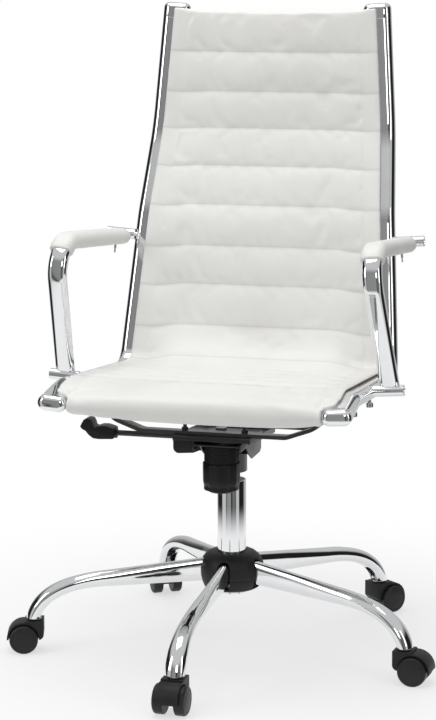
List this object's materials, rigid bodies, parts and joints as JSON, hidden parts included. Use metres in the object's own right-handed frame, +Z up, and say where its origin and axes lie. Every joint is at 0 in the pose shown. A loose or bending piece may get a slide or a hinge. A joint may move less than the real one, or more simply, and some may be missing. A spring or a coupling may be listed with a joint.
{
  "type": "swivel office chair",
  "caption": "High-back swivel office chair: ribbed leather sling on bent chrome side rails, loop armrests with padded sleeves, tilt mechanism, gas lift and a five-arm caster base.",
  "frame": {"origin": "on the swivel axis at floor level, where the wheels rest", "axes": "+Z up along the gas column; the chair faces -Y at rest; +X to the sitter's left, which is the right-hand side as seen from in front"},
  "size_m": [0.7605, 0.737, 1.1129],
  "materials": {
    "chrome": "polished",
    "leather_white": "satin",
    "black_plastic": "matt",
    "wheel_black": "semi-gloss",
    "black_paint": "satin",
    "zinc_steel": "satin"
  },
  "bodies": {
    "base": {"base_hub": "zinc_steel", "base_arms": "chrome", "hub_cover_upper": "black_plastic", "hub_cover_lower": "black_plastic", "caster_sockets": "zinc_steel", "column_tube": "chrome", "column_bush": "black_plastic", "thrust_bearing": "zinc_steel"},
    "caster_1": {"caster_hood_1": "black_plastic", "caster_pins_1": "zinc_steel"},
    "wheel_1a": {"caster_wheel_1a": "wheel_black"},
    "wheel_1b": {"caster_wheel_1b": "wheel_black"},
    "caster_2": {"caster_hood_2": "black_plastic", "caster_pins_2": "zinc_steel"},
    "wheel_2a": {"caster_wheel_2a": "wheel_black"},
    "wheel_2b": {"caster_wheel_2b": "wheel_black"},
    "caster_3": {"caster_hood_3": "black_plastic", "caster_pins_3": "zinc_steel"},
    "wheel_3a": {"caster_wheel_3a": "wheel_black"},
    "wheel_3b": {"caster_wheel_3b": "wheel_black"},
    "caster_4": {"caster_hood_4": "black_plastic", "caster_pins_4": "zinc_steel"},
    "wheel_4a": {"caster_wheel_4a": "wheel_black"},
    "wheel_4b": {"caster_wheel_4b": "wheel_black"},
    "caster_5": {"caster_hood_5": "black_plastic", "caster_pins_5": "zinc_steel"},
    "wheel_5a": {"caster_wheel_5a": "wheel_black"},
    "wheel_5b": {"caster_wheel_5b": "wheel_black"},
    "spindle": {"piston_rod": "zinc_steel"},
    "lift": {"gas_cylinder": "black_paint", "mechanism_base": "black_paint", "tilt_axle": "zinc_steel", "tension_sleeve": "black_plastic", "tension_spring": "zinc_steel", "lever_housing": "black_plastic"},
    "valve": {"valve_button": "black_plastic"},
    "pull_rod": {"tension_rod": "zinc_steel"},
    "spring_seat": {"spring_cup": "zinc_steel"},
    "knob": {"tension_knob": "black_plastic"},
    "lever_carrier": {"lever_pivot": "black_paint"},
    "lever": {"lever_rod": "black_paint", "lever_handle": "black_plastic"},
    "seat": {"mechanism_top_plate": "black_paint", "mounting_bolts": "black_paint", "side_rail_left": "chrome", "side_rail_right": "chrome", "top_caps": "chrome", "front_caps": "chrome", "seat_stretcher_front": "black_paint", "seat_stretcher_rear": "black_paint", "back_stretchers": "chrome", "stretcher_screws": "chrome", "arm_left": "chrome", "arm_right": "chrome", "arm_pad_left": "leather_white", "arm_pad_right": "leather_white", "arm_bolts": "chrome", "sling": "leather_white", "zip_pulls": "chrome"}
  },
  "joints": [
    {"name": "caster_1_swivel", "type": "hinge", "parent": "base", "child": "caster_1", "pos_m": [0.20726, 0.27705, 0.075], "axis": [0, 0, 1], "continuous": true},
    {"name": "wheel_1a_spin", "type": "hinge", "parent": "caster_1", "child": "wheel_1a", "pos_m": [0.21948, 0.29161, 0.025], "axis": [-0.766, 0.6428, 0], "continuous": true},
    {"name": "wheel_1b_spin", "type": "hinge", "parent": "caster_1", "child": "wheel_1b", "pos_m": [0.21948, 0.29161, 0.025], "axis": [-0.766, 0.6428, 0], "continuous": true},
    {"name": "caster_2_swivel", "type": "hinge", "parent": "base", "child": "caster_2", "pos_m": [-0.19945, 0.28273, 0.075], "axis": [0, 0, 1], "continuous": true},
    {"name": "wheel_2a_spin", "type": "hinge", "parent": "caster_2", "child": "wheel_2a", "pos_m": [-0.20895, 0.29919, 0.025], "axis": [-0.866, -0.5, 0], "continuous": true},
    {"name": "wheel_2b_spin", "type": "hinge", "parent": "caster_2", "child": "wheel_2b", "pos_m": [-0.20895, 0.29919, 0.025], "axis": [-0.866, -0.5, 0], "continuous": true},
    {"name": "caster_3_swivel", "type": "hinge", "parent": "base", "child": "caster_3", "pos_m": [-0.33053, -0.10231, 0.075], "axis": [0, 0, 1], "continuous": true},
    {"name": "wheel_3a_spin", "type": "hinge", "parent": "caster_3", "child": "wheel_3a", "pos_m": [-0.3487, -0.10787, 0.025], "axis": [0.2924, -0.9563, 0], "continuous": true},
    {"name": "wheel_3b_spin", "type": "hinge", "parent": "caster_3", "child": "wheel_3b", "pos_m": [-0.3487, -0.10787, 0.025], "axis": [0.2924, -0.9563, 0], "continuous": true},
    {"name": "caster_4_swivel", "type": "hinge", "parent": "base", "child": "caster_4", "pos_m": [-0.00483, -0.34597, 0.075], "axis": [0, 0, 1], "continuous": true},
    {"name": "wheel_4a_spin", "type": "hinge", "parent": "caster_4", "child": "wheel_4a", "pos_m": [-0.00549, -0.36495, 0.025], "axis": [0.9994, -0.0349, 0], "continuous": true},
    {"name": "wheel_4b_spin", "type": "hinge", "parent": "caster_4", "child": "wheel_4b", "pos_m": [-0.00549, -0.36495, 0.025], "axis": [0.9994, -0.0349, 0], "continuous": true},
    {"name": "caster_5_swivel", "type": "hinge", "parent": "base", "child": "caster_5", "pos_m": [0.32754, -0.1115, 0.075], "axis": [0, 0, 1], "continuous": true},
    {"name": "wheel_5a_spin", "type": "hinge", "parent": "caster_5", "child": "wheel_5a", "pos_m": [0.34644, -0.11349, 0.025], "axis": [0.1045, 0.9945, 0], "continuous": true},
    {"name": "wheel_5b_spin", "type": "hinge", "parent": "caster_5", "child": "wheel_5b", "pos_m": [0.34644, -0.11349, 0.025], "axis": [0.1045, 0.9945, 0], "continuous": true},
    {"name": "seat_swivel", "type": "hinge", "parent": "base", "child": "spindle", "pos_m": [0, 0, 0.113], "axis": [0, 0, 1], "continuous": true},
    {"name": "seat_height", "type": "slide", "parent": "spindle", "child": "lift", "axis": [0, 0, 1], "range_m": [0, 0.1]},
    {"name": "seat_tilt", "type": "hinge", "parent": "lift", "child": "seat", "pos_m": [0, 0.03, 0.379], "axis": [-1, 0, 0], "range_deg": [0, 12], "stiffness_Nm_per_rad": 150, "springref_deg": -17.19},
    {"name": "tension_rod_lift", "type": "slide", "parent": "lift", "child": "pull_rod", "axis": [0, 0, 1], "range_m": [0, 0.0226], "deforming": ["tension_spring"]},
    {"name": "spring_cup_travel", "type": "slide", "parent": "pull_rod", "child": "spring_seat", "axis": [0, 0, 1], "range_m": [-0.006, 0.006]},
    {"name": "tension_knob_turn", "type": "hinge", "parent": "spring_seat", "child": "knob", "pos_m": [0, -0.069, 0.315], "axis": [0, 0, 1], "range_deg": [-720, 720]},
    {"name": "tilt_lock_pull", "type": "slide", "parent": "lift", "child": "lever_carrier", "axis": [-1, 0, 0], "range_m": [0, 0.012]},
    {"name": "height_lever", "type": "hinge", "parent": "lever_carrier", "child": "lever", "pos_m": [-0.03, 0, 0.375], "axis": [0, 1, 0], "range_deg": [0, 5], "stiffness_Nm_per_rad": 1.5, "springref_deg": -11.46},
    {"name": "valve_press", "type": "slide", "parent": "lift", "child": "valve", "axis": [0, 0, -1], "range_m": [0, 0.0038]}
  ],
  "couplings": [
    {"joint": "tension_rod_lift", "follows": "seat_tilt", "m_per_rad": 0.1064},
    {"joint": "spring_cup_travel", "follows": "tension_knob_turn", "m_per_rad": 0.0004775},
    {"joint": "valve_press", "follows": "height_lever", "m_per_rad": 0.043}
  ]
}
